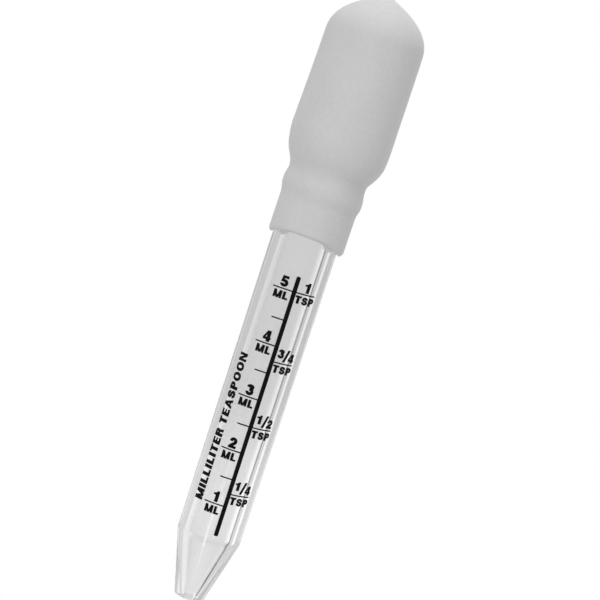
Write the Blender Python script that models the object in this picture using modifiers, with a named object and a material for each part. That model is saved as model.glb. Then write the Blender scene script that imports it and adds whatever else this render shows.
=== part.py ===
"""A calibrated medicine dropper: a thick-walled clear barrel, a soft squeeze bulb and a printed scale.

The dropper stands on its tip, with the barrel's axis on +Z and the tip's end face at Z = 0.
The printed bar faces -Y. The bulb is one soft moulding. Its front and back walls are separate
pieces here, because they travel inwards when a thumb and a finger squeeze the bulb.
"""

import math

import bmesh
import bpy
from mathutils import Matrix, Vector

MM = 0.001
ML = 1e-6  # one millilitre, in cubic metres

TURN_STEPS = 48
POLE_MERGE = 1e-5

# Barrel, from the tip upwards
TIP_BORE_RADIUS = 1.30 * MM
TIP_BORE_LENGTH = 0.60 * MM
TIP_EDGE_RADIUS = 0.45 * MM
TIP_LIP_RADIUS = 0.20 * MM
CONE_END_RADIUS = 3.43 * MM  # where the cone's slope reaches the end face
SHOULDER_Z = 15.2 * MM
SHOULDER_RADIUS = 7.48 * MM
SHOULDER_BLEND = 1.1 * MM
BORE_START_Z = 15.4 * MM
BORE_RADIUS = 4.987 * MM  # 12.8 mm of bore holds 1 mL
TAPER_END_Z = 85.3 * MM
BARREL_RADIUS = 7.75 * MM
BARREL_TOP_Z = 100.0 * MM
TOP_EDGE_RADIUS = 0.5 * MM

# The bead round the barrel's top end, which the bulb's neck grips
BEAD_RADIUS = 8.02 * MM
BEAD_LOW_Z = 96.9 * MM
BEAD_HIGH_Z = 99.5 * MM
BEAD_RAMP = 0.8 * MM

# Bulb, from the lip upwards
LIP_Z = 85.3 * MM
LIP_HEIGHT = 1.9 * MM
NECK_RADIUS = 9.11 * MM
NECK_BORE_RADIUS = 8.06 * MM  # slides over the bead
NECK_STRAIGHT_END_Z = 94.9 * MM
RING_Z = 98.0 * MM
RING_RADIUS = 9.57 * MM
WAIST_Z = 101.6 * MM
WAIST_RADIUS = 9.22 * MM
BODY_LOW_Z = 111.95 * MM
BODY_LOW_RADIUS = 11.84 * MM
BODY_HIGH_Z = 134.1 * MM
BODY_HIGH_RADIUS = 11.54 * MM
CROWN_Z = 144.25 * MM
CROWN_RADIUS = 1.65 * MM
CROWN_SLOPE = math.radians(23.0)
CROWN_HANDLES = (4.7 * MM, 5.7 * MM)
NUB_HEIGHT = 0.35 * MM
BULB_WALL = 1.35 * MM
GROOVE_RADIUS = 8.34 * MM
GROOVE_LOW_Z = 96.3 * MM
GROOVE_HIGH_Z = 100.35 * MM
GROOVE_RAMP = 0.5 * MM

# The squeezed walls: round-ended panels of the bulb's wall, seen along Y
WALL_HALF_WIDTH = 5.9 * MM
WALL_LOW_Z = 107.3 * MM
WALL_HIGH_Z = 133.7 * MM
WALL_GAP = 0.3 * MM
CUTTER_NEAR_Y = 2.0 * MM
CUTTER_FAR_Y = 16.0 * MM

# Printed scale. The lines allow for the liquid that stays behind in the tip.
TIP_HOLD_UP = 0.20 * ML
SCALE_ML = (1, 2, 3, 4, 5)
SCALE_HALF_ML = (1.5, 2.5, 3.5, 4.5)
TEASPOON_QUARTER_ML = 1.25
INK_GAP = 0.05 * MM
INK_THICKNESS = 0.10 * MM
INK_LINE = 0.25 * MM
BAR_WIDTH = 0.92 * MM
BAR_LOW_Z = 17.3 * MM
BAR_HIGH_Z = 78.8 * MM
LINE_SWEEP = math.radians(40.0)
HALF_LINE_SWEEP = math.radians(26.0)


# ---------------------------------------------------------------- scene and materials

def clear_scene():
    for thing in list(bpy.data.objects):
        bpy.data.objects.remove(thing, do_unlink=True)


def new_collection(name):
    group = bpy.data.collections.new(name)
    bpy.context.scene.collection.children.link(group)
    return group


def new_material(name, colour, roughness, transmission=0.0):
    material = bpy.data.materials.new(name)
    material.use_nodes = True
    shader = material.node_tree.nodes["Principled BSDF"]
    shader.inputs["Base Color"].default_value = (*colour, 1.0)
    shader.inputs["Roughness"].default_value = roughness
    shader.inputs["Metallic"].default_value = 0.0
    shader.inputs["Transmission Weight"].default_value = transmission
    return material


# ---------------------------------------------------------------- outlines, as (radius, z) points

def arc(centre, radii, start, end, steps):
    """Points on an upright ellipse's arc, from the angle start to end in degrees."""
    points = []
    for i in range(steps + 1):
        angle = math.radians(start + (end - start) * i / steps)
        points.append((centre[0] + radii[0] * math.cos(angle), centre[1] + radii[1] * math.sin(angle)))
    return points


def bezier(p0, p1, p2, p3, steps):
    points = []
    for i in range(steps + 1):
        t = i / steps
        weights = ((1 - t) ** 3, 3 * t * (1 - t) ** 2, 3 * t * t * (1 - t), t ** 3)
        points.append(tuple(sum(w * p[k] for w, p in zip(weights, (p0, p1, p2, p3))) for k in (0, 1)))
    return points


def ease(low, high, lean_low, lean_high, steps):
    """A curve between two (radius, z) points that leaves both of them straight up."""
    rise = high[1] - low[1]
    first = (low[0], low[1] + lean_low * rise)
    second = (high[0], high[1] - lean_high * rise)
    return bezier(low, first, second, high, steps)


def rounded(before, corner, after, reach, steps):
    """A corner between two straight stretches, rounded over the distance reach along each."""
    corner = Vector(corner)
    start = corner + (Vector(before) - corner).normalized() * reach
    end = corner + (Vector(after) - corner).normalized() * reach
    return bezier(tuple(start), tuple(start.lerp(corner, 0.6)), tuple(end.lerp(corner, 0.6)), tuple(end), steps)


def inset(points, distance):
    """The curve moved inwards, to the side of the axis, for points that run upwards."""
    moved = []
    for i, point in enumerate(points):
        before = Vector(points[max(i - 1, 0)])
        after = Vector(points[min(i + 1, len(points) - 1)])
        along = (after - before).normalized()
        moved.append((point[0] - along.y * distance, point[1] + along.x * distance))
    return moved


def barrel_outer_radius(z):
    """The outside of the straight barrel above the shoulder, which widens a little upwards."""
    share = (min(z, TAPER_END_Z) - SHOULDER_Z) / (TAPER_END_Z - SHOULDER_Z)
    return SHOULDER_RADIUS + share * (BARREL_RADIUS - SHOULDER_RADIUS)


def barrel_outline():
    """The barrel's closed outline, clockwise from the top of the bore: down outside, up inside."""
    end_corner = (CONE_END_RADIUS, 0.0)
    shoulder = (SHOULDER_RADIUS, SHOULDER_Z)
    taper_end = (BARREL_RADIUS, TAPER_END_Z)
    outside = arc((TIP_BORE_RADIUS + TIP_LIP_RADIUS, TIP_LIP_RADIUS), (TIP_LIP_RADIUS,) * 2, 180, 270, 2)
    outside += rounded((0.0, 0.0), end_corner, shoulder, TIP_EDGE_RADIUS, 4)
    outside += rounded(end_corner, shoulder, taper_end, SHOULDER_BLEND, 5)
    outside.append(taper_end)
    outside += ease((BARREL_RADIUS, BEAD_LOW_Z), (BEAD_RADIUS, BEAD_LOW_Z + BEAD_RAMP), 0.4, 0.4, 4)
    outside += rounded((BEAD_RADIUS, BEAD_LOW_Z), (BEAD_RADIUS, BEAD_HIGH_Z), (BARREL_RADIUS, BARREL_TOP_Z),
                       TOP_EDGE_RADIUS / 2, 2)
    outside += rounded((BEAD_RADIUS, BEAD_HIGH_Z), (BARREL_RADIUS, BARREL_TOP_Z), (0.0, BARREL_TOP_Z),
                       TOP_EDGE_RADIUS / 2, 2)
    mouth_edge = arc((BORE_RADIUS + TOP_EDGE_RADIUS, BARREL_TOP_Z - TOP_EDGE_RADIUS), (TOP_EDGE_RADIUS,) * 2,
                     90, 180, 3)
    cone_top = rounded((BORE_RADIUS, BARREL_TOP_Z), (BORE_RADIUS, BORE_START_Z),
                       (TIP_BORE_RADIUS, TIP_BORE_LENGTH), SHOULDER_BLEND, 4)
    return outside[::-1] + [(TIP_BORE_RADIUS, TIP_BORE_LENGTH)] + cone_top[::-1] + mouth_edge[::-1]


def bulb_outline():
    """The bulb's outline from the crown down the outside, round the lip and up the inside to the axis."""
    lip = arc((NECK_BORE_RADIUS, LIP_Z + LIP_HEIGHT), (NECK_RADIUS - NECK_BORE_RADIUS, LIP_HEIGHT), -90, 0, 6)
    neck_end = (NECK_RADIUS, NECK_STRAIGHT_END_Z)
    ring = (RING_RADIUS, RING_Z)
    waist = (WAIST_RADIUS, WAIST_Z)
    body_low = (BODY_LOW_RADIUS, BODY_LOW_Z)
    body_high = (BODY_HIGH_RADIUS, BODY_HIGH_Z)
    crown = (CROWN_RADIUS, CROWN_Z)
    rise, run = CROWN_HANDLES
    crown_handle = (crown[0] + run * math.cos(CROWN_SLOPE), crown[1] - run * math.sin(CROWN_SLOPE))
    neck = ease(neck_end, ring, 0.4, 0.4, 5) + ease(ring, waist, 0.4, 0.4, 5)[1:]
    body = ease(waist, body_low, 0.26, 0.74, 10)
    body += bezier(body_high, (body_high[0], body_high[1] + rise), crown_handle, crown, 10)
    nub = arc((0.0, CROWN_Z), (CROWN_RADIUS, NUB_HEIGHT), 0, 90, 3)
    outside = lip + neck + body[1:] + nub[1:]

    groove = ease((NECK_BORE_RADIUS, GROOVE_LOW_Z), (GROOVE_RADIUS, GROOVE_LOW_Z + GROOVE_RAMP), 0.3, 0.3, 3)
    groove.append((GROOVE_RADIUS, GROOVE_HIGH_Z))
    chamber = inset(body, BULB_WALL)
    chamber.append((0.0, chamber[-1][1] + NUB_HEIGHT))
    return outside[::-1] + groove + chamber


# ---------------------------------------------------------------- solids

def turned(name, outline, origin_z, closed, collection, material):
    """A body of revolution about +Z whose origin stands on the axis at origin_z."""
    mesh = bpy.data.meshes.new(name)
    shape = bmesh.new()
    points = [shape.verts.new((radius, 0.0, z - origin_z)) for radius, z in outline]
    for first, second in zip(points, points[1:]):
        shape.edges.new((first, second))
    if closed:
        shape.edges.new((points[-1], points[0]))
    shape.to_mesh(mesh)
    shape.free()
    body = bpy.data.objects.new(name, mesh)
    body.location = (0.0, 0.0, origin_z)
    mesh.materials.append(material)
    collection.objects.link(body)
    screw = body.modifiers.new("turn", "SCREW")
    screw.axis = "Z"
    screw.steps = TURN_STEPS
    screw.render_steps = TURN_STEPS
    screw.use_merge_vertices = True
    screw.merge_threshold = POLE_MERGE
    screw.use_smooth_shade = True
    return body


def finish_cutter(name, shape, collection):
    mesh = bpy.data.meshes.new(name)
    shape.to_mesh(mesh)
    shape.free()
    cutter = bpy.data.objects.new(name, mesh)
    cutter.hide_render = True
    cutter.display_type = "WIRE"
    collection.objects.link(cutter)
    return cutter


def box_into(shape, low, high):
    """Adds a box to a bmesh and returns its vertices."""
    low = Vector(low)
    high = Vector(high)
    place = Matrix.Translation((low + high) / 2) @ Matrix.Diagonal((*(high - low), 1.0))
    return bmesh.ops.create_cube(shape, size=1.0, matrix=place)["verts"]


def panel_cutter(name, half_width, low_z, high_z, near_y, far_y, collection):
    """A round-ended prism along Y, which cuts a panel's outline through the bulb's wall."""
    shape = bmesh.new()
    box_into(shape, (-half_width, near_y, low_z), (half_width, far_y, high_z))
    along_y = [edge for edge in shape.edges if abs((edge.verts[0].co - edge.verts[1].co).y) > MM]
    bmesh.ops.bevel(shape, geom=along_y, offset=half_width * 0.98, segments=8, profile=0.5, affect="EDGES")
    return finish_cutter(name, shape, collection)


def cut(body, cutter, operation):
    boolean = body.modifiers.new(operation.lower() + "_" + cutter.name, "BOOLEAN")
    boolean.operation = operation
    boolean.solver = "EXACT"
    boolean.object = cutter


def line_height(volume):
    """The height of the line that reads this volume, from the tip cone's and the bore's own volumes."""
    cone_height = BORE_START_Z - TIP_BORE_LENGTH
    squares = TIP_BORE_RADIUS ** 2 + TIP_BORE_RADIUS * BORE_RADIUS + BORE_RADIUS ** 2
    tip_volume = math.pi * (TIP_BORE_RADIUS ** 2 * TIP_BORE_LENGTH + cone_height * squares / 3)
    return BORE_START_Z + (volume + TIP_HOLD_UP - tip_volume) / (math.pi * BORE_RADIUS ** 2)


def line_box(shape, z, sweep):
    """A scale line's stencil, from the bar's middle round to the angle sweep. It goes left if negative."""
    end_x = barrel_outer_radius(z) * math.sin(sweep)
    box_into(shape, (min(end_x, 0.0), -20 * MM, z - INK_LINE / 2), (max(end_x, 0.0), -MM, z + INK_LINE / 2))


# ---------------------------------------------------------------- the dropper's pieces

def make_barrel(parts):
    clear_plastic = new_material("clear_plastic", (0.93, 0.95, 0.94), 0.05, transmission=1.0)
    return turned("barrel", barrel_outline(), 0.0, True, parts, clear_plastic)


def make_bulb(parts, cutters):
    """The bulb's body with a window in front and behind, and the two walls that fill the windows."""
    soft_vinyl = new_material("soft_vinyl", (0.58, 0.58, 0.58), 0.55)
    bulb = turned("bulb", bulb_outline(), LIP_Z, False, parts, soft_vinyl)
    window = panel_cutter("bulb_window", WALL_HALF_WIDTH + WALL_GAP, WALL_LOW_Z - WALL_GAP,
                          WALL_HIGH_Z + WALL_GAP, -CUTTER_FAR_Y, CUTTER_FAR_Y, cutters)
    cut(bulb, window, "DIFFERENCE")

    pieces = [bulb]
    for name, side in (("bulb_front_wall", -1), ("bulb_back_wall", 1)):
        wall_vinyl = new_material(name + "_vinyl", (0.60, 0.60, 0.60), 0.55)
        wall = turned(name, bulb_outline(), (WALL_LOW_Z + WALL_HIGH_Z) / 2, False, parts, wall_vinyl)
        near_y, far_y = sorted((side * CUTTER_NEAR_Y, side * CUTTER_FAR_Y))
        panel = panel_cutter(name + "_outline", WALL_HALF_WIDTH, WALL_LOW_Z, WALL_HIGH_Z, near_y, far_y, cutters)
        cut(wall, panel, "INTERSECT")
        pieces.append(wall)
    return pieces


def make_scale(parts, cutters):
    """The bar and its lines as one thin skin round the barrel's front."""
    ink = new_material("black_ink", (0.02, 0.02, 0.02), 0.45)
    inner = INK_GAP
    outer = INK_GAP + INK_THICKNESS
    low_z = BAR_LOW_Z - MM
    high_z = BAR_HIGH_Z + MM
    outline = [
        (barrel_outer_radius(high_z) + outer, high_z),
        (barrel_outer_radius(low_z) + outer, low_z),
        (barrel_outer_radius(low_z) + inner, low_z),
        (barrel_outer_radius(high_z) + inner, high_z),
    ]
    skin = turned("scale_print", outline, 0.0, True, parts, ink)

    shape = bmesh.new()
    half_bar = BAR_WIDTH / 2
    box_into(shape, (-half_bar, -20 * MM, BAR_LOW_Z), (half_bar, -MM, BAR_HIGH_Z - half_bar))
    stencil = finish_cutter("bar_stencil", shape, cutters)

    shape = bmesh.new()
    along_y = Matrix.Translation((0.0, -10.5 * MM, BAR_HIGH_Z - half_bar)) @ Matrix.Rotation(math.pi / 2, 4, "X")
    bmesh.ops.create_cone(shape, cap_ends=True, segments=24, radius1=half_bar, radius2=half_bar,
                          depth=19 * MM, matrix=along_y)
    cut(stencil, finish_cutter("bar_end_stencil", shape, cutters), "UNION")

    lines = [(volume, -LINE_SWEEP) for volume in SCALE_ML]
    lines += [(volume, -HALF_LINE_SWEEP) for volume in SCALE_HALF_ML]
    lines += [(quarters * TEASPOON_QUARTER_ML, LINE_SWEEP) for quarters in (1, 2, 3, 4)]
    for sweep_side in (-1, 1):
        shape = bmesh.new()
        for volume, sweep in lines:
            if sweep * sweep_side > 0:
                line_box(shape, line_height(volume * ML), sweep)
        side_name = "left" if sweep_side < 0 else "right"
        cut(stencil, finish_cutter(side_name + "_lines_stencil", shape, cutters), "UNION")
    cut(skin, stencil, "INTERSECT")
    return skin


def build():
    clear_scene()
    parts = new_collection("medicine_dropper")
    cutters = new_collection("cutters")
    barrel = make_barrel(parts)
    bulb, front_wall, back_wall = make_bulb(parts, cutters)
    scale = make_scale(parts, cutters)
    bpy.context.view_layer.update()
    scale.parent = barrel
    for wall in (front_wall, back_wall):
        wall.parent = bulb
        wall.matrix_parent_inverse = bulb.matrix_world.inverted()


build()
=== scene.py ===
"""The looks of the medicine dropper: its clear barrel, soft bulb and printed scale."""

import math

import bmesh
import bpy
from mathutils import Matrix, Vector, noise
from mathutils.geometry import delaunay_2d_cdt


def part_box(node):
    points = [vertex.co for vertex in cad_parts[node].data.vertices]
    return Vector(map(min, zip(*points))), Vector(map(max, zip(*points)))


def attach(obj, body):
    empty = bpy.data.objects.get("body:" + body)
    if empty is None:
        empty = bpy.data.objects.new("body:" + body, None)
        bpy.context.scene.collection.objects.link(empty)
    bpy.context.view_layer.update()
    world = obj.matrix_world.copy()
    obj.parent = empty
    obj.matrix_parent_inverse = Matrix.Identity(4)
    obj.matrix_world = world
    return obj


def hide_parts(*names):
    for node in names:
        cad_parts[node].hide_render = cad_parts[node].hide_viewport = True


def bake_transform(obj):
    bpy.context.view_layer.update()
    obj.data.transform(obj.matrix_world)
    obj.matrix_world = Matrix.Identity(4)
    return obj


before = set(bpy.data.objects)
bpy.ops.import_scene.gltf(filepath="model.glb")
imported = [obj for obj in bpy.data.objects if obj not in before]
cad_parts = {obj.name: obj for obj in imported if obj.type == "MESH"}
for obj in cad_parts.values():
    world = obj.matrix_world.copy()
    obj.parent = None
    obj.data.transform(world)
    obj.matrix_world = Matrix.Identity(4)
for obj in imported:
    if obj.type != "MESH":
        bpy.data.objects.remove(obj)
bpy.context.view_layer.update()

MM = 0.001

# The frame's own heights
BARREL_TOP_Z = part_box("barrel")[1].z
LIP_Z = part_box("bulb")[0].z

# Barrel
TURN_STEPS = 256
TIP_BORE_RADIUS = 1.30 * MM
TIP_BORE_LENGTH = 0.60 * MM
TIP_EDGE_RADIUS = 0.5 * MM
TIP_LIP_RADIUS = 0.55 * MM
CONE_END_RADIUS = 3.43 * MM
SHOULDER_Z = 15.2 * MM
SHOULDER_RADIUS = 7.48 * MM
SHOULDER_BLEND = 0.5 * MM
BORE_SHOULDER_BLEND = 0.5 * MM
BORE_START_Z = 15.4 * MM
BORE_RADIUS = 4.987 * MM
TAPER_END_Z = 85.3 * MM
BARREL_RADIUS = 7.75 * MM
TOP_EDGE_RADIUS = 0.5 * MM
BEAD_RADIUS = 8.02 * MM
BEAD_LOW_Z = 96.9 * MM
BEAD_HIGH_Z = 99.5 * MM
BEAD_RAMP = 0.8 * MM

# Bulb
BULB_STEPS = 192
LIP_LOW_RADIUS = 8.15 * MM
LIP_INNER_ROUND = 0.6 * MM
LIP_OUTER_ROUND = 1.5 * MM
LIP_BORE_RADIUS = 7.80 * MM  # the stretched lip hugs the barrel
NECK_RADIUS = 9.02 * MM
NECK_BORE_RADIUS = 8.06 * MM
NECK_STRAIGHT_END_Z = 94.9 * MM
RING = (9.55 * MM, 98.0 * MM)
WAIST = (9.14 * MM, 101.6 * MM)
BODY_LOW = (11.77 * MM, 111.95 * MM)
BODY_HIGH = (11.45 * MM, 134.1 * MM)
CROWN = (1.65 * MM, 144.25 * MM)
CROWN_SLOPE = math.radians(23.0)
CROWN_HANDLES = (4.7 * MM, 5.7 * MM)
NUB_HEIGHT = 0.35 * MM
BULB_WALL = 1.35 * MM
PAINTED_SLEEVE_GLOW = 0.55  # painted glow: an emission inside the low part of the neck's sleeve that stands in for the light that seeps through the neck's wall
# Where the painted glow lies: between these radii and heights inside the sleeve
PAINTED_GLOW_RADII = (8.07 * MM, 8.22 * MM)
PAINTED_GLOW_HEIGHTS = (LIP_Z + 3 * MM, LIP_Z + 12 * MM)
GROOVE_RADIUS = 8.34 * MM
GROOVE_LOW_Z = 96.3 * MM
GROOVE_HIGH_Z = 100.35 * MM
LIP_LIFT = 0.8 * MM
LIP_BOW = 1.7 * MM  # the lip's front and back stand this much higher than its sides
LIP_TILT = 0.4 * MM  # the lip hangs this much lower on the picture's right, and higher on its left
LIP_REACH = 8.0 * MM
# How far the skin's left side is pushed up, and its right side, along the bulb's height
SHEAR_HEIGHTS = (93.0 * MM, 97.0 * MM, 99.5 * MM, 101.8 * MM, 105.0 * MM, 109.0 * MM, 113.0 * MM)
SHEAR_LEFT = (0.0, 0.8 * MM, 0.95 * MM, 0.35 * MM, 0.65 * MM, 1.15 * MM, 0.0)
SHEAR_RIGHT = (0.0, -0.2 * MM, -0.05 * MM, 0.0, -0.45 * MM, -1.15 * MM, 0.0)
LEAN_START = 0.14 * MM
LEAN_SIDEWAYS = 0.72 * MM
LEAN_REACH = 50.0 * MM

# Printed scale, as arcs round the barrel from the scale's middle and heights, in millimetres
PRINT_RADIUS = 7.6 * MM
INK_PROUD = 0.012 * MM
INK_SUNK = 0.010 * MM
INK_STEP = 0.25
BAR_WIDTH = 1.0
BAR_MIDDLE = -0.15
BAR_LOW = 17.1
BAR_HIGH = 79.0
LINE_WIDTH = 0.31
RIGHT_LINE_SLOPE = 0.016
PRINT_LEAN = 0.0057  # how far the print drifts to the right for each millimetre below LEVEL_Z
LEVEL_Z = 67.0
LINE_ARC = 5.30
HALF_LINE_ARC = 3.42
FIRST_LINE_Z = 24.2  # 1 mL
ML_STEP = 12.8  # one millilitre of bore
TEASPOON_QUARTER = 1.25
# How far the lines for these volumes are printed off their true height
SLIPS = {4.5: -0.36, 4: -0.12, 3.75: -0.42, 3.5: -0.1, 3: -0.12, 2.5: -0.11, 1.25: -0.15}
WHOLE_VOLUMES = (1, 2, 3, 4, 5)
HALF_VOLUMES = (1.5, 2.5, 3.5, 4.5)
SPOON_QUARTERS = (1, 2, 3, 4)

# Where the lettering stands, as left, low, right and high, with heights counted from its line
NUMBER_PLACE = (-3.82, 0.38, -1.96, 2.94)
NUMBER_ONE_PLACE = (-3.53, 0.38, -2.14, 2.94)
UNIT_PLACE = (-4.66, -2.36, -1.18, -0.52)
FRACTION_TOP_PLACE = (0.60, 1.13, 2.17, 3.24)
FRACTION_TOP_ONE_PLACE = (0.60, 1.13, 1.84, 3.24)
SLASH_PLACE = (2.10, 0.42, 3.53, 3.38)
FRACTION_BOTTOM_PLACE = (3.44, 0.54, 5.10, 2.66)
WHOLE_SPOON_PLACE = (1.92, 0.40, 3.34, 2.82)
SPOON_UNIT_PLACE = (0.44, -2.34, 5.38, -0.50)
LEGEND_PLACE = (-8.25, 23.8, -5.93, 58.7)  # on the artwork itself
FRACTIONS = (("1", "4"), ("1", "2"), ("3", "4"))

# Colours, as a darker and a lighter end where they vary
PLASTIC_TINT = ((0.973, 0.974, 0.974), (0.992, 0.992, 0.992))
PLASTIC_DEPTH_COLOUR = (0.415, 0.419, 0.419, 1.0)
PLASTIC_DEPTH_DENSITY = 110.0
VINYL_GREY = ((0.588, 0.589, 0.589), (0.620, 0.621, 0.621))
INK_BLACK = ((0.002, 0.002, 0.002), (0.007, 0.007, 0.007))
FLOOR_GREY = ((0.48, 0.48, 0.48), (0.52, 0.52, 0.52))
FLOOR_GLOW = 0.60

FLOOR_RADIUS = 0.13
FLOOR_Z = -0.10  # below the tip, so that the light comes up through the barrel as well

# Lights: azimuth and elevation in degrees, distance and side in metres, and radiance
LIGHTS = {"key_light": (-45, 35, 0.9, 0.55, 1.0), "top_light": (-10, 75, 0.8, 0.5, 0.4)}
LIGHT_AIM_Z = BARREL_TOP_Z * 0.75

# Camera, as the azimuth and distance it stands at and how it is turned
CAMERA_AZIMUTH = math.radians(-10.8)
CAMERA_DISTANCE = 390.15 * MM
CAMERA_HEIGHT = 103.8 * MM
CAMERA_PITCH = math.radians(-4.44)
CAMERA_YAW = math.radians(0.4512)
CAMERA_ROLL = math.radians(18.19)
LENS = 102.84
SENSOR = 36.0

# The picture's right, on the level
SIDEWAYS = Vector((math.cos(CAMERA_AZIMUTH), math.sin(CAMERA_AZIMUTH), 0.0))


# ---------------------------------------------------------------- outlines, as (radius, z) points

def arc(centre, radii, start, end, steps):
    """Points on an upright ellipse's arc, from the angle start to end in degrees."""
    points = []
    for i in range(steps + 1):
        angle = math.radians(start + (end - start) * i / steps)
        points.append((centre[0] + radii[0] * math.cos(angle), centre[1] + radii[1] * math.sin(angle)))
    return points


def bezier(p0, p1, p2, p3, steps):
    points = []
    for i in range(steps + 1):
        t = i / steps
        weights = ((1 - t) ** 3, 3 * t * (1 - t) ** 2, 3 * t * t * (1 - t), t ** 3)
        points.append(tuple(sum(w * p[k] for w, p in zip(weights, (p0, p1, p2, p3))) for k in (0, 1)))
    return points


def ease(low, high, lean_low, lean_high, steps):
    """A curve between two (radius, z) points that leaves both of them straight up."""
    rise = high[1] - low[1]
    after_low = (low[0], low[1] + lean_low * rise)
    before_high = (high[0], high[1] - lean_high * rise)
    return bezier(low, after_low, before_high, high, steps)


def straight(start, end, steps):
    """Evenly spaced points after start, up to and including end."""
    return [tuple(a + (b - a) * i / steps for a, b in zip(start, end)) for i in range(1, steps + 1)]


def rounded(before, corner, after, reach, steps):
    """A corner between two straight stretches, rounded over the distance reach along each."""
    corner = Vector(corner)
    start = corner + (Vector(before) - corner).normalized() * reach
    end = corner + (Vector(after) - corner).normalized() * reach
    points = (start, start.lerp(corner, 0.6), end.lerp(corner, 0.6), end)
    return bezier(*(tuple(point) for point in points), steps)


def inset(points, distance):
    """The curve moved inwards, to the side of the axis, for points that run upwards."""
    moved = []
    for i, point in enumerate(points):
        before = Vector(points[max(i - 1, 0)])
        after = Vector(points[min(i + 1, len(points) - 1)])
        along = (after - before).normalized()
        moved.append((point[0] - along.y * distance, point[1] + along.x * distance))
    return moved


def barrel_outline():
    """The barrel's closed outline, from the top of the bore down the outside and up inside."""
    end_corner = (CONE_END_RADIUS, 0.0)
    shoulder = (SHOULDER_RADIUS, SHOULDER_Z)
    taper_end = (BARREL_RADIUS, TAPER_END_Z)
    outside = arc((TIP_BORE_RADIUS + TIP_LIP_RADIUS, TIP_LIP_RADIUS), (TIP_LIP_RADIUS,) * 2, 180, 270, 6)
    outside += rounded((0.0, 0.0), end_corner, shoulder, TIP_EDGE_RADIUS, 10)
    blend = rounded(end_corner, shoulder, taper_end, SHOULDER_BLEND, 12)
    outside += straight(outside[-1], blend[0], 14) + blend[1:]
    outside += straight(outside[-1], taper_end, 40)
    outside += ease((BARREL_RADIUS, BEAD_LOW_Z), (BEAD_RADIUS, BEAD_LOW_Z + BEAD_RAMP), 0.4, 0.4, 8)
    outside += rounded((BEAD_RADIUS, BEAD_LOW_Z), (BEAD_RADIUS, BEAD_HIGH_Z), (BARREL_RADIUS, BARREL_TOP_Z),
                       TOP_EDGE_RADIUS / 2, 4)
    outside += rounded((BEAD_RADIUS, BEAD_HIGH_Z), (BARREL_RADIUS, BARREL_TOP_Z), (0.0, BARREL_TOP_Z),
                       TOP_EDGE_RADIUS / 2, 4)
    mouth = arc((BORE_RADIUS + TOP_EDGE_RADIUS, BARREL_TOP_Z - TOP_EDGE_RADIUS), (TOP_EDGE_RADIUS,) * 2,
                90, 180, 8)
    cone_top = rounded((BORE_RADIUS, BARREL_TOP_Z), (BORE_RADIUS, BORE_START_Z),
                       (TIP_BORE_RADIUS, TIP_BORE_LENGTH), BORE_SHOULDER_BLEND, 10)
    inside = [(TIP_BORE_RADIUS, TIP_BORE_LENGTH)]
    inside += straight(inside[-1], cone_top[-1], 14) + cone_top[-2::-1]
    inside += straight(inside[-1], mouth[-1], 40)
    return outside[::-1] + inside + mouth[-2::-1]


def bulb_outline():
    """The bulb's outline from the crown down the outside, round the lip and up the inside to the axis."""
    inner_radii = (LIP_LOW_RADIUS - LIP_BORE_RADIUS, LIP_INNER_ROUND)
    outer_radii = (NECK_RADIUS - LIP_LOW_RADIUS, LIP_OUTER_ROUND)
    lip = arc((LIP_LOW_RADIUS, LIP_Z + LIP_INNER_ROUND), inner_radii, 180, 270, 8)
    lip += arc((LIP_LOW_RADIUS, LIP_Z + LIP_OUTER_ROUND), outer_radii, 270, 360, 12)[1:]
    neck = straight(lip[-1], (NECK_RADIUS, NECK_STRAIGHT_END_Z), 10)
    neck += ease(neck[-1], RING, 0.4, 0.4, 12)[1:] + ease(RING, WAIST, 0.4, 0.4, 12)[1:]
    body = ease(WAIST, BODY_LOW, 0.26, 0.74, 26)
    body += straight(body[-1], BODY_HIGH, 26)
    rise, run = CROWN_HANDLES
    crown_handle = (CROWN[0] + run * math.cos(CROWN_SLOPE), CROWN[1] - run * math.sin(CROWN_SLOPE))
    body += bezier(BODY_HIGH, (BODY_HIGH[0], BODY_HIGH[1] + rise), crown_handle, CROWN, 28)[1:]
    nub = arc((0.0, CROWN[1]), (CROWN[0], NUB_HEIGHT), 0, 90, 8)
    outside = lip + neck + body[1:] + nub[1:]

    sleeve = ease(lip[0], (NECK_BORE_RADIUS, LIP_Z + 7 * MM), 0.3, 0.5, 8)[1:]
    groove = ease((NECK_BORE_RADIUS, GROOVE_LOW_Z), (GROOVE_RADIUS, GROOVE_LOW_Z + 0.5 * MM), 0.3, 0.3, 4)
    groove.append((GROOVE_RADIUS, GROOVE_HIGH_Z))
    chamber = inset(body, BULB_WALL)
    chamber.append((0.0, chamber[-1][1] + NUB_HEIGHT))
    return outside[::-1] + sleeve + groove + chamber


# ---------------------------------------------------------------- materials

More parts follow.
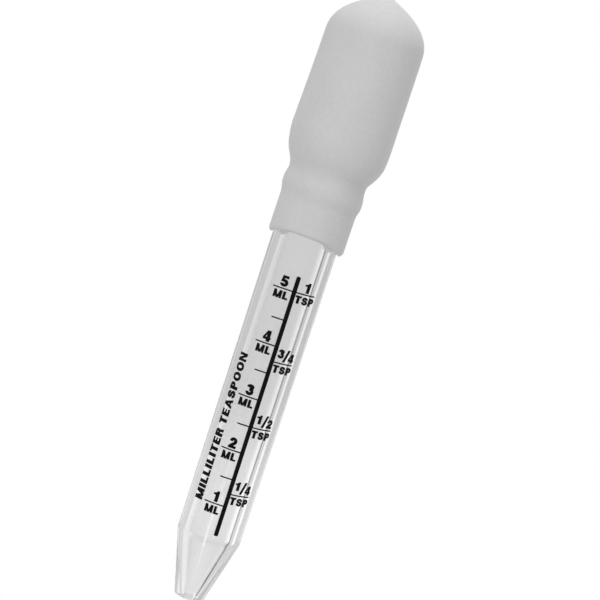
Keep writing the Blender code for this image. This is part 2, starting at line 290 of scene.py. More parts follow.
class Nodes:
    """Short calls for building one material's or world's node tree."""

    def __init__(self, tree):
        self.tree = tree

    def add(self, kind, **settings):
        node = self.tree.nodes.new(kind)
        for name, value in settings.items():
            setattr(node, name, value)
        return node

    def link(self, source, target):
        self.tree.links.new(source, target)

    def put(self, socket, value):
        if isinstance(value, bpy.types.NodeSocket):
            self.link(value, socket)
        else:
            socket.default_value = value

    def math(self, operation, first, second=0.0):
        node = self.add("ShaderNodeMath", operation=operation)
        for socket, value in zip(node.inputs, (first, second)):
            self.put(socket, value)
        return node.outputs[0]

    def map_range(self, value, low, high, to_low, to_high, smooth=False):
        node = self.add("ShaderNodeMapRange", clamp=True)
        if smooth:
            node.interpolation_type = "SMOOTHSTEP"
        for socket, item in zip(node.inputs, (value, low, high, to_low, to_high)):
            self.put(socket, item)
        return node.outputs[0]

    def noise(self, vector, scale, detail=2.0, roughness=0.5):
        node = self.add("ShaderNodeTexNoise")
        self.put(node.inputs["Vector"], vector)
        node.inputs["Scale"].default_value = scale
        node.inputs["Detail"].default_value = detail
        node.inputs["Roughness"].default_value = roughness
        return node.outputs["Fac"]

    def place(self, scale=(1.0, 1.0, 1.0)):
        """The object's own coordinates, stretched."""
        coordinates = self.add("ShaderNodeTexCoord")
        mapping = self.add("ShaderNodeMapping")
        self.link(coordinates.outputs["Object"], mapping.inputs["Vector"])
        mapping.inputs["Scale"].default_value = scale
        return mapping.outputs["Vector"]

    def colours(self, factor, low, high):
        node = self.add("ShaderNodeMix", data_type="RGBA")
        self.put(node.inputs["Factor"], factor)
        node.inputs["A"].default_value = (*low, 1.0)
        node.inputs["B"].default_value = (*high, 1.0)
        return node.outputs["Result"]

    def darkened(self, colour, shade):
        """A colour multiplied by a shade."""
        node = self.add("ShaderNodeMix", data_type="RGBA", blend_type="MULTIPLY")
        node.inputs["Factor"].default_value = 1.0
        self.link(colour, node.inputs["A"])
        self.link(shade, node.inputs["B"])
        return node.outputs["Result"]

    def varied(self, factor, ends):
        """A colour that varies between two ends, over the middle of a noise's range."""
        return self.colours(self.map_range(factor, 0.3, 0.7, 0.0, 1.0), *ends)

    def bump(self, height, strength, distance, normal=None):
        node = self.add("ShaderNodeBump")
        node.inputs["Strength"].default_value = strength
        node.inputs["Distance"].default_value = distance
        self.put(node.inputs["Height"], height)
        if normal is not None:
            self.link(normal, node.inputs["Normal"])
        return node.outputs["Normal"]


def new_material(name):
    material = bpy.data.materials.new(name)
    material.use_nodes = True
    return material, Nodes(material.node_tree), material.node_tree.nodes["Principled BSDF"].inputs


def clear_plastic():
    """Moulded clear plastic: a faint haze, flow lines along its length and fine handling scratches."""
    material, nodes, shader = new_material("clear_plastic")
    flow = nodes.noise(nodes.place((900.0, 900.0, 9.0)), 1.0, 3.0, 0.55)
    haze = nodes.noise(nodes.place((1.0, 1.0, 0.6)), 160.0, 3.0, 0.6)
    scratches = nodes.noise(nodes.place((5200.0, 5200.0, 240.0)), 1.0, 2.0, 0.7)
    shader["IOR"].default_value = 1.49
    shader["Transmission Weight"].default_value = 1.0
    tint = nodes.colours(nodes.map_range(haze, 0.35, 0.65, 0.0, 1.0), *PLASTIC_TINT)
    nodes.link(tint, shader["Base Color"])
    depth = nodes.add("ShaderNodeVolumeAbsorption")
    depth.inputs["Color"].default_value = PLASTIC_DEPTH_COLOUR
    depth.inputs["Density"].default_value = PLASTIC_DEPTH_DENSITY
    nodes.link(depth.outputs["Volume"], material.node_tree.nodes["Material Output"].inputs["Volume"])
    nodes.link(nodes.map_range(haze, 0.3, 0.7, 0.035, 0.075), shader["Roughness"])
    waves = nodes.bump(flow, 0.35, 0.02 * MM)
    nodes.link(nodes.bump(scratches, 0.10, 0.004 * MM, waves), shader["Normal"])
    return material


def seeping_light(nodes):
    """Mask of the painted glow: white inside the low part of the neck's sleeve, and black everywhere else.
    """
    split = nodes.add("ShaderNodeSeparateXYZ")
    nodes.link(nodes.place(), split.inputs[0])
    x, y, z = split.outputs
    squares = nodes.math("ADD", nodes.math("MULTIPLY", x, x), nodes.math("MULTIPLY", y, y))
    sleeve = nodes.map_range(nodes.math("SQRT", squares), *PAINTED_GLOW_RADII, 1.0, 0.0)
    low = nodes.map_range(z, *PAINTED_GLOW_HEIGHTS, 1.0, 0.0)
    return nodes.colours(nodes.math("MULTIPLY", sleeve, low), (0.0, 0.0, 0.0), (1.0, 1.0, 1.0))


def soft_vinyl():
    """Matte grey vinyl: clouded pigment, a fine grain, a faint bloom that dulls it in patches, and a
    painted glow inside the low part of the neck's sleeve.
    """
    material, nodes, shader = new_material("soft_vinyl")
    clouds = nodes.noise(nodes.place((1.0, 1.0, 0.7)), 90.0, 4.0, 0.6)
    speckle = nodes.noise(nodes.place(), 1500.0, 2.0, 0.6)
    grain = nodes.noise(nodes.place(), 2600.0, 3.0, 0.65)
    drag = nodes.noise(nodes.place((260.0, 260.0, 40.0)), 1.0, 3.0, 0.5)
    shade = nodes.map_range(speckle, 0.30, 0.62, 0.955, 1.0)
    nodes.link(nodes.darkened(nodes.varied(clouds, VINYL_GREY), shade), shader["Base Color"])
    nodes.link(nodes.map_range(clouds, 0.3, 0.7, 0.46, 0.60), shader["Roughness"])
    shader["Specular IOR Level"].default_value = 0.15
    # Painted glow: the sleeve's low inside is brightened by emission, not lit through the wall
    nodes.link(seeping_light(nodes), shader["Emission Color"])
    shader["Emission Strength"].default_value = PAINTED_SLEEVE_GLOW
    soft = nodes.bump(drag, 0.30, 0.05 * MM)
    nodes.link(nodes.bump(grain, 0.30, 0.02 * MM, soft), shader["Normal"])
    return material


def black_ink():
    """Screen-printed ink: nearly black, unevenly laid, with a slight gloss."""
    material, nodes, shader = new_material("black_ink")
    lay = nodes.noise(nodes.place(), 900.0, 3.0, 0.6)
    weave = nodes.noise(nodes.place(), 4200.0, 1.0, 0.5)
    nodes.link(nodes.varied(lay, INK_BLACK), shader["Base Color"])
    nodes.link(nodes.map_range(weave, 0.3, 0.7, 0.40, 0.60), shader["Roughness"])
    shader["Specular IOR Level"].default_value = 0.05
    nodes.link(nodes.bump(weave, 0.25, 0.006 * MM), shader["Normal"])
    return material


# ---------------------------------------------------------------- turned meshes

def turned_points(outline, steps):
    """One ring of points for each outline point, or one point where the outline meets the axis."""
    rings = []
    for radius, z in outline:
        count = 1 if radius < 1e-7 else steps
        turn = [2 * math.pi * i / steps for i in range(count)]
        rings.append([Vector((radius * math.sin(angle), -radius * math.cos(angle), z)) for angle in turn])
    return rings


def new_object(name, mesh, material):
    body = bpy.data.objects.new(name, mesh)
    mesh.materials.append(material)
    bpy.context.scene.collection.objects.link(body)
    return body


def make_barrel(material):
    """The clear barrel as one closed turned mesh."""
    shape = bmesh.new()
    rings = []
    for ring in turned_points(barrel_outline(), TURN_STEPS):
        rings.append([shape.verts.new(point) for point in ring])
    for upper, lower in zip(rings, rings[1:] + rings[:1]):
        for i in range(TURN_STEPS):
            k = (i + 1) % TURN_STEPS
            shape.faces.new((upper[i], lower[i], lower[k], upper[k]))
    bmesh.ops.recalc_face_normals(shape, faces=shape.faces)
    mesh = bpy.data.meshes.new("clear_barrel")
    shape.to_mesh(mesh)
    shape.free()
    mesh.shade_smooth()
    mesh.set_sharp_from_angle(angle=math.radians(50))
    return new_object("clear_barrel", mesh, material)


def ripple(point, spread, seed):
    """A smooth value between -1 and 1 that wanders over the distance spread."""
    return noise.noise(point / spread + Vector((seed, seed * 1.7, seed * 0.3)))


def between(value, places, amounts):
    """A smooth step from one amount to the next, for a value between their places."""
    if value <= places[0]:
        return amounts[0]
    for low, high, start, end in zip(places, places[1:], amounts, amounts[1:]):
        if value < high:
            share = (value - low) / (high - low)
            return start + (end - start) * share * share * (3 - 2 * share)
    return amounts[-1]


def shaped_bulb_point(point):
    """Where a point of the turned bulb really lies: its lip bows, it leans, and its skin isn't perfect."""
    outward = Vector((point.x, point.y, 0.0)).normalized()
    right = outward.dot(SIDEWAYS)
    bow = 1 - min(abs(right), 1.0) ** 3.6
    near_lip = max(0.0, 1 - (point.z - LIP_Z) / LIP_REACH)
    lifted = point.copy()
    lifted.z += (LIP_LIFT - LIP_TILT * right + LIP_BOW * bow) * near_lip ** 1.5
    on_skin = point.z > BARREL_TOP_Z or math.hypot(point.x, point.y) > GROOVE_RADIUS + 0.1 * MM
    if on_skin:
        lifted.z += max(-right, 0.0) * between(point.z, SHEAR_HEIGHTS, SHEAR_LEFT)
        lifted.z += max(right, 0.0) * between(point.z, SHEAR_HEIGHTS, SHEAR_RIGHT)
    rise = min(max((point.z - LIP_Z) / LEAN_REACH, 0.0), 1.0)
    lifted += SIDEWAYS * (LEAN_START + LEAN_SIDEWAYS * rise * rise * (3 - 2 * rise))
    skin = 0.05 * MM * ripple(point, 14 * MM, 3.1) + 0.02 * MM * ripple(point, 4 * MM, 8.4)
    return lifted + outward * skin * rise


def make_bulb(material):
    """The bulb's front and back halves, which meet inside the skin and share its smooth shading."""
    outline = bulb_outline()
    rings = [[shaped_bulb_point(point) for point in ring] for ring in turned_points(outline, BULB_STEPS)]
    starts = []
    points = []
    for ring in rings:
        starts.append(len(points))
        points += ring

    def point_index(ring, step):
        return starts[ring] + (step % BULB_STEPS if len(rings[ring]) > 1 else 0)

    def faces_between(first_step, last_step):
        faces = []
        for k in range(len(rings) - 1):
            for i in range(first_step, last_step):
                corners = [point_index(k, i), point_index(k + 1, i),
                           point_index(k + 1, i + 1), point_index(k, i + 1)]
                faces.append(list(dict.fromkeys(corners)))
        return faces

    whole = bpy.data.meshes.new("whole_bulb")
    whole.from_pydata(points, [], faces_between(0, BULB_STEPS))
    whole.update()
    normals = [vertex.normal.copy() for vertex in whole.vertices]
    bpy.data.meshes.remove(whole)

    halves = []
    quarter = BULB_STEPS // 4
    for name, first_step, last_step in (("bulb_front_half", -quarter, quarter),
                                        ("bulb_back_half", quarter, 3 * quarter)):
        faces = faces_between(first_step, last_step)
        skin_faces = len(faces)
        low_side = [point_index(k, first_step) for k in range(len(rings))]
        high_side = [point_index(k, last_step) for k in range(len(rings))]
        used = sorted({c for face in faces for c in face})
        local = {c: n for n, c in enumerate(used)}
        mesh = bpy.data.meshes.new(name)
        section = low_side + high_side[1:-1][::-1]
        faces.append(section[::-1])
        mesh.from_pydata([points[c] for c in used], [], [[local[c] for c in face] for face in faces])
        mesh.shade_smooth()
        mesh.update()
        split = []
        for polygon in mesh.polygons:
            on_skin = polygon.index < skin_faces
            for corner in polygon.vertices:
                split.append(normals[used[corner]] if on_skin else polygon.normal.copy())
        mesh.normals_split_custom_set(split)
        halves.append(new_object(name, mesh, material))
    return halves


# ---------------------------------------------------------------- printing

def barrel_radius(z):
    """The outside of the straight barrel above the shoulder, which widens a little upwards."""
    share = (min(z, TAPER_END_Z) - SHOULDER_Z) / (TAPER_END_Z - SHOULDER_Z)
    return SHOULDER_RADIUS + share * (BARREL_RADIUS - SHOULDER_RADIUS)


def wrap(arc_mm, height_mm, proud):
    """A printed point on the barrel, from its place on the flat artwork."""
    z = height_mm * MM
    radius = barrel_radius(z) + proud
    angle = (arc_mm + PRINT_LEAN * (LEVEL_Z - height_mm)) * MM / PRINT_RADIUS
    return Vector((radius * math.sin(angle), -radius * math.cos(angle), z))


def print_piece(name, artwork, material):
    """Joins overlapping flat shapes, in millimetres, into one thin closed skin of ink on the barrel."""
    low = min(x for shape in artwork for x, y in shape)
    high = max(x for shape in artwork for x, y in shape)
    bottom = min(y for shape in artwork for x, y in shape) - 1
    top = max(y for shape in artwork for x, y in shape) + 1
    corners = [point for shape in artwork for point in shape]
    shapes = []
    for shape in artwork:
        first = shapes[-1][-1] + 1 if shapes else 0
        shapes.append(list(range(first, first + len(shape))))
    folds = []
    for i in range(math.ceil(low / INK_STEP), math.floor(high / INK_STEP) + 1):
        folds.append((len(corners), len(corners) + 1))
        corners += [(i * INK_STEP, bottom), (i * INK_STEP, top)]
    joined = delaunay_2d_cdt([Vector(corner) for corner in corners], folds, shapes, 0, 1e-5)
    flat_points = joined[0]
    inked = [face for face, sources in zip(joined[2], joined[5]) if sources]

    used = sorted({corner for face in inked for corner in face})
    local = {corner: n for n, corner in enumerate(used)}
    count = len(used)
    points = [wrap(*flat_points[corner], INK_PROUD) for corner in used]
    points += [wrap(*flat_points[corner], -INK_SUNK) for corner in used]
    faces = []
    rims = {}
    for face in inked:
        outer = [local[corner] for corner in face]
        faces.append(outer)
        faces.append([corner + count for corner in reversed(outer)])
        for pair in zip(outer, outer[1:] + outer[:1]):
            if rims.pop((pair[1], pair[0]), None) is None:
                rims[pair] = True
    faces += [[b, a, a + count, b + count] for a, b in rims]
    mesh = bpy.data.meshes.new(name)
    mesh.from_pydata(points, [], faces)
    mesh.update()
    return new_object(name, mesh, material)


def box(x0, y0, x1, y1):
    return [(x0, y0), (x1, y0), (x1, y1), (x0, y1)]


# Stroke weights, in a letter that is 1 high: upright, level and curved
STEM = 0.305
BAR = 0.255
CURVE = 0.28


def sweep(x0, y0, x1, y1, start, *curves):
    """A stroke of the weight CURVE along joined Bezier curves, as small pieces.

    The stroke fills the box x0 to x1 and y0 to y1, and its points are given as shares of that box.
    """
    half = CURVE / 2

    def place(point):
        return (x0 + half + (x1 - x0 - CURVE) * point[0], y0 + half + (y1 - y0 - CURVE) * point[1])

    path = [place(start)]
    for first, second, end in curves:
        path += bezier(path[-1], place(first), place(second), place(end), 8)[1:]
    edges = []
    for i, point in enumerate(path):
        along = (Vector(path[min(i + 1, len(path) - 1)]) - Vector(path[max(i - 1, 0)])).normalized()
        across = Vector((-along.y, along.x)) * half
        edges.append((Vector(point) + across, Vector(point) - across))
    pieces = []
    for first, second in zip(edges, edges[1:]):
        corners = [*first, *second]
        middle = sum(corners, Vector((0.0, 0.0))) / 4
        corners.sort(key=lambda corner: math.atan2(*(corner - middle).yx))
        pieces.append([tuple(corner) for corner in corners])
    return pieces


ONE = [(0.19, 0.0), (0.51, 0.0), (0.51, 1.0), (0.30, 1.0), (0.26, 0.91), (0.20, 0.85),
       (0.12, 0.82), (0.0, 0.81), (0.0, 0.62), (0.19, 0.62)]
R_LEG = [(0.45, 0.0), (0.72, 0.0), (0.67, 0.22), (0.65, 0.40), (0.54, 0.50), (0.36, 0.44), (0.42, 0.34)]
# Block letters and figures, as a width and the shapes that make each up, in a cell that is 1 high
GLYPHS = {
    "1": (0.52, [ONE]),
    "2": (0.66, [box(0.0, 0.0, 0.66, BAR),
                 *sweep(0.01, 0.0, 0.65, 1.0, (0.0, 0.66), ((0.0, 0.88), (0.20, 1.0), (0.50, 1.0)),
                       ((0.80, 1.0), (1.0, 0.89), (1.0, 0.71)), ((1.0, 0.50), (0.72, 0.43), (0.42, 0.27)),
                       ((0.20, 0.16), (0.06, 0.10), (0.02, -0.02)))]),
    "3": (0.66, [*sweep(0.01, 0.425, 0.63, 1.0, (0.0, 0.42), ((0.02, 0.85), (0.22, 1.0), (0.50, 1.0)),
                       ((0.82, 1.0), (1.0, 0.82), (1.0, 0.52)), ((1.0, 0.15), (0.75, 0.0), (0.30, 0.0))),
                 *sweep(0.0, 0.0, 0.66, 0.68, (0.32, 1.0), ((0.78, 1.0), (1.0, 0.78), (1.0, 0.48)),
                       ((1.0, 0.18), (0.78, 0.0), (0.50, 0.0)), ((0.18, 0.0), (0.0, 0.18), (0.0, 0.50)))]),
    "4": (0.70, [box(0.32, 0.0, 0.63, 1.0), box(0.0, 0.18, 0.70, 0.41),
                 [(0.0, 0.38), (0.21, 0.38), (0.37, 0.70), (0.37, 1.0), (0.30, 1.0)]]),
    "5": (0.66, [box(0.10, 1.0 - BAR, 0.61, 1.0), [(0.03, 0.42), (0.26, 0.42), (0.32, 1.0), (0.10, 1.0)],
                 *sweep(0.0, 0.0, 0.66, 0.68, (0.14, 0.74), ((0.24, 0.93), (0.36, 1.0), (0.52, 1.0)),
                       ((0.86, 1.0), (1.0, 0.78), (1.0, 0.50)), ((1.0, 0.18), (0.80, 0.0), (0.50, 0.0)),
                       ((0.20, 0.0), (0.02, 0.14), (0.0, 0.42)))]),
    "A": (0.82, [[(0.0, 0.0), (0.26, 0.0), (0.54, 1.0), (0.29, 1.0)],
                 [(0.56, 0.0), (0.82, 0.0), (0.53, 1.0), (0.28, 1.0)], box(0.16, 0.17, 0.66, 0.36)]),
    "E": (0.62, [box(0.0, 0.0, STEM, 1.0), box(0.0, 0.0, 0.62, BAR), box(0.0, 0.395, 0.58, 0.60),
                 box(0.0, 1.0 - BAR, 0.61, 1.0)]),
    "I": (STEM, [box(0.0, 0.0, STEM, 1.0)]),
    "L": (0.60, [box(0.0, 0.0, STEM, 1.0), box(0.0, 0.0, 0.60, BAR)]),
    "M": (0.96, [box(0.0, 0.0, 0.27, 1.0), box(0.69, 0.0, 0.96, 1.0),
                 [(0.0, 1.0), (0.35, 0.0), (0.57, 0.0), (0.31, 1.0)],
                 [(0.39, 0.0), (0.61, 0.0), (0.96, 1.0), (0.65, 1.0)]]),
    "N": (0.76, [box(0.0, 0.0, 0.24, 1.0), box(0.52, 0.0, 0.76, 1.0),
                 [(0.0, 1.0), (0.50, 0.0), (0.76, 0.0), (0.26, 1.0)]]),
    "O": (0.82, [*sweep(0.0, 0.0, 0.82, 1.0, (0.5, 1.0), ((0.18, 1.0), (0.0, 0.78), (0.0, 0.5)),
                       ((0.0, 0.22), (0.18, 0.0), (0.5, 0.0))),
                 *sweep(0.0, 0.0, 0.82, 1.0, (0.5, 0.0), ((0.82, 0.0), (1.0, 0.22), (1.0, 0.5)),
                       ((1.0, 0.78), (0.82, 1.0), (0.5, 1.0)))]),
    "P": (0.68, [box(0.0, 0.0, STEM, 1.0),
                 *sweep(0.0, 0.34, 0.68, 1.0, (0.0, 1.0), ((0.2, 1.0), (0.35, 1.0), (0.50, 1.0)),
                       ((0.84, 1.0), (1.0, 0.85), (1.0, 0.5)), ((1.0, 0.15), (0.84, 0.0), (0.50, 0.0)),
                       ((0.35, 0.0), (0.2, 0.0), (0.0, 0.0)))]),
    "R": (0.72, [box(0.0, 0.0, STEM, 1.0),
                 *sweep(0.0, 0.38, 0.69, 1.0, (0.0, 1.0), ((0.2, 1.0), (0.35, 1.0), (0.55, 1.0)),
                       ((0.86, 1.0), (1.0, 0.85), (1.0, 0.5)), ((1.0, 0.15), (0.86, 0.0), (0.55, 0.0)),
                       ((0.35, 0.0), (0.2, 0.0), (0.0, 0.0))),
                 R_LEG]),
    "S": (0.70, [*sweep(0.0, 0.0, 0.70, 1.0, (0.94, 0.68), ((0.94, 0.89), (0.78, 1.0), (0.50, 1.0)),
                       ((0.20, 1.0), (0.03, 0.91), (0.03, 0.745)),
                       ((0.03, 0.57), (0.22, 0.55), (0.50, 0.505)),
                       ((0.80, 0.46), (1.0, 0.42), (1.0, 0.25)), ((1.0, 0.09), (0.80, 0.0), (0.50, 0.0)),
                       ((0.18, 0.0), (0.0, 0.11), (0.0, 0.32)))]),
    "T": (0.66, [box(0.0, 1.0 - BAR, 0.66, 1.0), box(0.33 - STEM / 2, 0.0, 0.33 + STEM / 2, 1.0)]),
    "/": (0.58, [[(0.0, 0.0), (0.26, 0.0), (0.58, 1.0), (0.32, 1.0)]]),
}
LETTER_GAP = 0.09
WORD_GAP = 0.42


def lettering(text, x0, y0, x1, y1, upwards=False):
    """The shapes of some text, fitted into a box. Text that reads upwards has its tops to the left."""
    cells = []
    width = 0.0
    for character in text:
        if character == " ":
            width += WORD_GAP - LETTER_GAP
            continue
        cell, shapes = GLYPHS[character]
        cells += [[(width + x, y) for x, y in shape] for shape in shapes]
        width += cell + LETTER_GAP
    width -= LETTER_GAP
    fitted = []
    for shape in cells:
        if upwards:
            fitted.append([(x1 + (x0 - x1) * y, y0 + (y1 - y0) * x / width) for x, y in shape])
        else:
            fitted.append([(x0 + (x1 - x0) * x / width, y0 + (y1 - y0) * y) for x, y in shape])
    return [counterclockwise(shape) for shape in fitted]


def counterclockwise(shape):
    area = sum(a[0] * b[1] - b[0] * a[1] for a, b in zip(shape, shape[1:] + shape[:1]))
    return shape if area > 0 else shape[::-1]


def line_height(volume):
    """The height of the line that reads this many millilitres, in millimetres."""
    return FIRST_LINE_Z + (volume - 1) * ML_STEP + SLIPS.get(volume, 0.0)


def scale_line(z, reach):
    """A line from the scale's middle to its round end, to the left if reach is negative."""
    half = LINE_WIDTH / 2
    if reach > 0:
        end = z + reach * RIGHT_LINE_SLOPE
        return [(0.0, z + half), (0.0, z - half)] + arc((reach - half, end), (half,) * 2, -90, 90, 4)
    return [(0.0, z - half), (0.0, z + half)] + arc((reach + half, z), (half,) * 2, 90, 270, 4)


def bar_and_lines():
    """The bar with its round ends and the lines that grow out of it."""
    half = BAR_WIDTH / 2
    shapes = [arc((BAR_MIDDLE, BAR_HIGH - half * 0.6), (half, half * 0.6), 0, 180, 16)
              + arc((BAR_MIDDLE, BAR_LOW + half * 0.4), (half, half * 0.4), 180, 360, 12)]
    for volume in WHOLE_VOLUMES:
        shapes.append(scale_line(line_height(volume), -LINE_ARC))
    for volume in HALF_VOLUMES:
        shapes.append(scale_line(line_height(volume), -HALF_LINE_ARC))
    for quarters in SPOON_QUARTERS:
        shapes.append(scale_line(line_height(TEASPOON_QUARTER * quarters), LINE_ARC))
    return shapes


def at_line(text, place, volume):
    """Text at the line that reads this many millilitres."""
    left, low, right, high = place
    z = line_height(volume)
    return lettering(text, left, z + low, right, z + high)


def make_print(material):
    """Every printed piece of the scale."""
    numbers = []
    units = []
    for volume in WHOLE_VOLUMES:
        numbers += at_line(str(volume), NUMBER_ONE_PLACE if volume == 1 else NUMBER_PLACE, volume)
        units += at_line("ML", UNIT_PLACE, volume)

    spoon_numbers = []
    for quarters, (top, bottom) in zip(SPOON_QUARTERS, FRACTIONS):
        volume = TEASPOON_QUARTER * quarters
        spoon_numbers += at_line(top, FRACTION_TOP_ONE_PLACE if top == "1" else FRACTION_TOP_PLACE, volume)
        spoon_numbers += at_line("/", SLASH_PLACE, volume)
        spoon_numbers += at_line(bottom, FRACTION_BOTTOM_PLACE, volume)
    spoon_numbers += at_line("1", WHOLE_SPOON_PLACE, TEASPOON_QUARTER * SPOON_QUARTERS[-1])
    spoon_units = []
    for quarters in SPOON_QUARTERS:
        spoon_units += at_line("TSP", SPOON_UNIT_PLACE, TEASPOON_QUARTER * quarters)
    left, low, right, high = LEGEND_PLACE
    legend = lettering("MILLILITER TEASPOON", left, low, right, high, upwards=True)

    artworks = (("scale_bar_and_lines", bar_and_lines()), ("millilitre_numbers", numbers),
                ("millilitre_units", units), ("teaspoon_numbers", spoon_numbers),
                ("teaspoon_units", spoon_units), ("unit_legend", legend))
    return [print_piece(name, artwork, material) for name, artwork in artworks]


# ---------------------------------------------------------------- studio

def make_floor():
    """A pale disc that glows a little, so that it is as bright as the white round it."""
    bpy.ops.mesh.primitive_circle_add(vertices=96, radius=FLOOR_RADIUS, fill_type="NGON")
    floor = bpy.context.object
    floor.name = "floor"
    floor.location.z = FLOOR_Z
    material, nodes, shader = new_material("pale_floor")
    grain = nodes.noise(nodes.place(), 300.0, 3.0, 0.6)
    nodes.link(nodes.colours(grain, *FLOOR_GREY), shader["Base Color"])
    shader["Roughness"].default_value = 0.9
    shader["Specular IOR Level"].default_value = 0.0
    shader["Emission Color"].default_value = (1.0, 1.0, 1.0, 1.0)
    shader["Emission Strength"].default_value = FLOOR_GLOW
    floor.data.materials.append(material)


# The studio's panels, as degrees to the picture's right from straight behind the object, and brightness.
# ROOM lights the matt surfaces, and PANELS is what shows through the clear plastic and in its reflections.
ROOM = ((-180, 0.82), (-125, 0.72), (-100, 0.50), (-88, 0.28), (-72, 0.28), (-64, 0.80),
        (-52, 0.85), (-40, 0.80), (-20, 0.85), (-10, 1.00), (5, 1.00), (14, 0.88), (19, 1.20),
        (30, 1.25), (42, 1.10), (50, 0.45), (66, 0.40), (74, 0.28), (105, 0.33), (122, 0.72), (180, 0.82))
PANELS = ((-180, 0.85), (-91, 0.85), (-84, 1.17), (-78, 1.60), (-74, 1.50), (-68, 1.00),
          (-48, 1.18), (-40, 0.89), (-30, 0.79), (-20, 0.91), (16, 0.91), (22, 1.10), (30, 1.25),
          (36, 1.44), (40, 1.28), (46, 0.80), (56, 0.94), (60, 0.81), (64.5, 0.30), (68, 0.18),
          (72, 1.41), (76, 1.60), (84, 1.60), (90, 1.00), (96, 0.84), (180, 0.85))
LOW_PANELS = ((-180, 0.80), (-90, 0.80), (-75, 1.20), (-27, 1.20), (-18, 1.00), (28, 1.00), (34, 0.93),
              (57, 0.93), (61, 0.60), (65, 0.12), (72, 0.12), (76, 0.90), (90, 0.80), (180, 0.80))
# An upright strip of light low behind the camera, which the barrel's front mirrors
LOW_STRIP = ((-180, 0.0), (-178, 0.0), (-174, 1.6), (-169, 1.6), (-165, 0.0), (180, 0.0))
LOW_STRIP_GAIN = 2.0
BRIGHTEST = 1.6  # of all the panels

# Stretches of height in the studio, as sines of the elevation, over which its light changes
LOW_PANELS_HEIGHTS = (-0.33, -0.27)  # LOW_PANELS below, PANELS above
LOW_STRIP_HEIGHTS = (-0.26, -0.14)
NEAR_FLOOR_HEIGHTS = (-0.20, -0.12)
NEAR_FLOOR_GAIN = 1.19
FAR_BELOW_HEIGHTS = (-0.30, -0.20)
FAR_BELOW_LOSS = -0.14
CEILING_HEIGHTS = (0.3, 1.0)
CEILING_GAIN = 0.3
PANELS_END_HEIGHTS = (0.45, 0.75)  # plain white above


def panels_around(nodes, turn, panels):
    """The brightness of a ring of panels, for a turn from 0 to 1 round the object."""
    ramp = nodes.add("ShaderNodeValToRGB")
    elements = ramp.color_ramp.elements
    while len(elements) < len(panels):
        elements.new(0.5)
    for element, (degrees, brightness) in zip(elements, panels):
        element.position = degrees / 360 + 0.5
        element.color = (*(brightness / BRIGHTEST,) * 3, 1.0)
    nodes.link(turn, ramp.inputs[0])
    return nodes.math("MULTIPLY", ramp.outputs[0], BRIGHTEST)


def make_world():
    """White to the camera. What lights the object has bright and dark panels, as in a studio."""
    world = bpy.data.worlds.new("studio")
    bpy.context.scene.world = world
    world.use_nodes = True
    nodes = Nodes(world.node_tree)
    world.node_tree.nodes.clear()
    direction = nodes.add("ShaderNodeTexCoord").outputs["Generated"]
    split = nodes.add("ShaderNodeSeparateXYZ")
    nodes.link(direction, split.inputs[0])
    x, y, z = split.outputs
    azimuth = nodes.math("ARCTAN2", x, nodes.math("MULTIPLY", y, -1.0))
    behind = CAMERA_AZIMUTH + math.pi
    to_right = nodes.math("DIVIDE", nodes.math("SUBTRACT", behind, azimuth), 2 * math.pi)
    turn = nodes.math("FRACT", nodes.math("ADD", to_right, 1.5))
    below = nodes.map_range(z, *NEAR_FLOOR_HEIGHTS, NEAR_FLOOR_GAIN, 1.0, smooth=True)
    far_below = nodes.map_range(z, *FAR_BELOW_HEIGHTS, FAR_BELOW_LOSS, 0.0, smooth=True)
    above = nodes.map_range(z, *CEILING_HEIGHTS, 0.0, CEILING_GAIN)
    level = nodes.math("ADD", nodes.math("ADD", below, far_below), above)
    lowness = nodes.map_range(z, *LOW_PANELS_HEIGHTS, 1.0, 0.0, smooth=True)
    highness = nodes.math("SUBTRACT", 1.0, lowness)
    banded = nodes.map_range(z, *PANELS_END_HEIGHTS, 1.0, 0.0, smooth=True)
    plain = nodes.math("SUBTRACT", 1.0, banded)

    def backdrop(panels, low_panels, glow=0.0):
        high_part = nodes.math("MULTIPLY", panels_around(nodes, turn, panels), highness)
        low_part = nodes.math("MULTIPLY", panels_around(nodes, turn, low_panels), lowness)
        around = nodes.math("MULTIPLY", nodes.math("ADD", high_part, low_part), banded)
        panels_light = nodes.math("MULTIPLY", nodes.math("ADD", around, plain), level)
        node = nodes.add("ShaderNodeBackground")
        nodes.link(nodes.math("ADD", panels_light, glow), node.inputs["Color"])
        return node.outputs[0]

    def choose(switch, usual, other):
        node = nodes.add("ShaderNodeMixShader")
        nodes.link(switch, node.inputs[0])
        nodes.link(usual, node.inputs[1])
        nodes.link(other, node.inputs[2])
        return node.outputs[0]

    white = nodes.add("ShaderNodeBackground")
    white.inputs["Color"].default_value = (1.0, 1.0, 1.0, 1.0)
    path = nodes.add("ShaderNodeLightPath")
    polished = nodes.math("MAXIMUM", path.outputs["Is Transmission Ray"], path.outputs["Is Glossy Ray"])
    lowest = nodes.map_range(z, *LOW_STRIP_HEIGHTS, LOW_STRIP_GAIN, 0.0, smooth=True)
    strip = nodes.math("MULTIPLY", panels_around(nodes, turn, LOW_STRIP), lowest)
    lighting = choose(polished, backdrop(ROOM, ROOM), backdrop(PANELS, LOW_PANELS, strip))
    seen = choose(path.outputs["Is Camera Ray"], lighting, white.outputs[0])
    nodes.link(seen, nodes.add("ShaderNodeOutputWorld").inputs["Surface"])


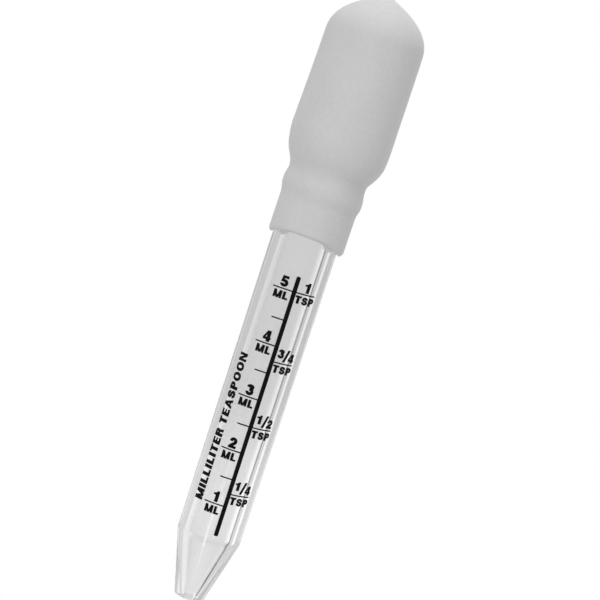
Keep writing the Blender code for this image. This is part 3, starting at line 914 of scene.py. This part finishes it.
def make_light(name, azimuth, elevation, distance, size, radiance):
    """A soft square light that faces the object's middle."""
    lamp = bpy.data.lights.new(name, "AREA")
    lamp.shape = "SQUARE"
    lamp.size = size
    lamp.energy = math.pi * size * size * radiance
    body = bpy.data.objects.new(name, lamp)
    bpy.context.scene.collection.objects.link(body)
    a = math.radians(azimuth)
    e = math.radians(elevation)
    back = Vector((math.sin(a) * math.cos(e), -math.cos(a) * math.cos(e), math.sin(e)))
    body.location = Vector((0.0, 0.0, LIGHT_AIM_Z)) + back * distance
    body.rotation_mode = "QUATERNION"
    body.rotation_quaternion = back.to_track_quat("Z", "Y")


def make_camera():
    """The camera at the photograph's viewing angle: it looks a little down, rolled round its own axis."""
    data = bpy.data.cameras.new("camera")
    data.sensor_width = SENSOR
    data.lens = LENS
    data.clip_start = 0.01
    data.clip_end = 20.0
    body = bpy.data.objects.new("camera", data)
    bpy.context.scene.collection.objects.link(body)
    stand = Vector((math.sin(CAMERA_AZIMUTH), -math.cos(CAMERA_AZIMUTH), 0.0)) * CAMERA_DISTANCE
    turn = Matrix.Rotation(CAMERA_AZIMUTH - CAMERA_YAW, 4, "Z")
    tilt = Matrix.Rotation(math.pi / 2 + CAMERA_PITCH, 4, "X")
    roll = Matrix.Rotation(CAMERA_ROLL, 4, "Z")
    body.matrix_world = Matrix.Translation(stand + Vector((0.0, 0.0, CAMERA_HEIGHT))) @ turn @ tilt @ roll
    bpy.context.scene.camera = body


# ---------------------------------------------------------------- the dropper

bpy.context.scene.view_settings.view_transform = "Standard"

barrel = make_barrel(clear_plastic())
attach(barrel, "barrel")
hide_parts("barrel")

front_half, back_half = make_bulb(soft_vinyl())
for half, wall, side in ((front_half, "front_wall", -1), (back_half, "back_wall", 1)):
    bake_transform(half)
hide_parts("bulb", "bulb_front_wall")
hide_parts("bulb_back_wall")

prints = make_print(black_ink())
for piece in prints:
    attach(piece, "barrel")
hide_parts("scale_print")

make_floor()
make_world()
for light_name, settings in LIGHTS.items():
    make_light(light_name, *settings)
make_camera()
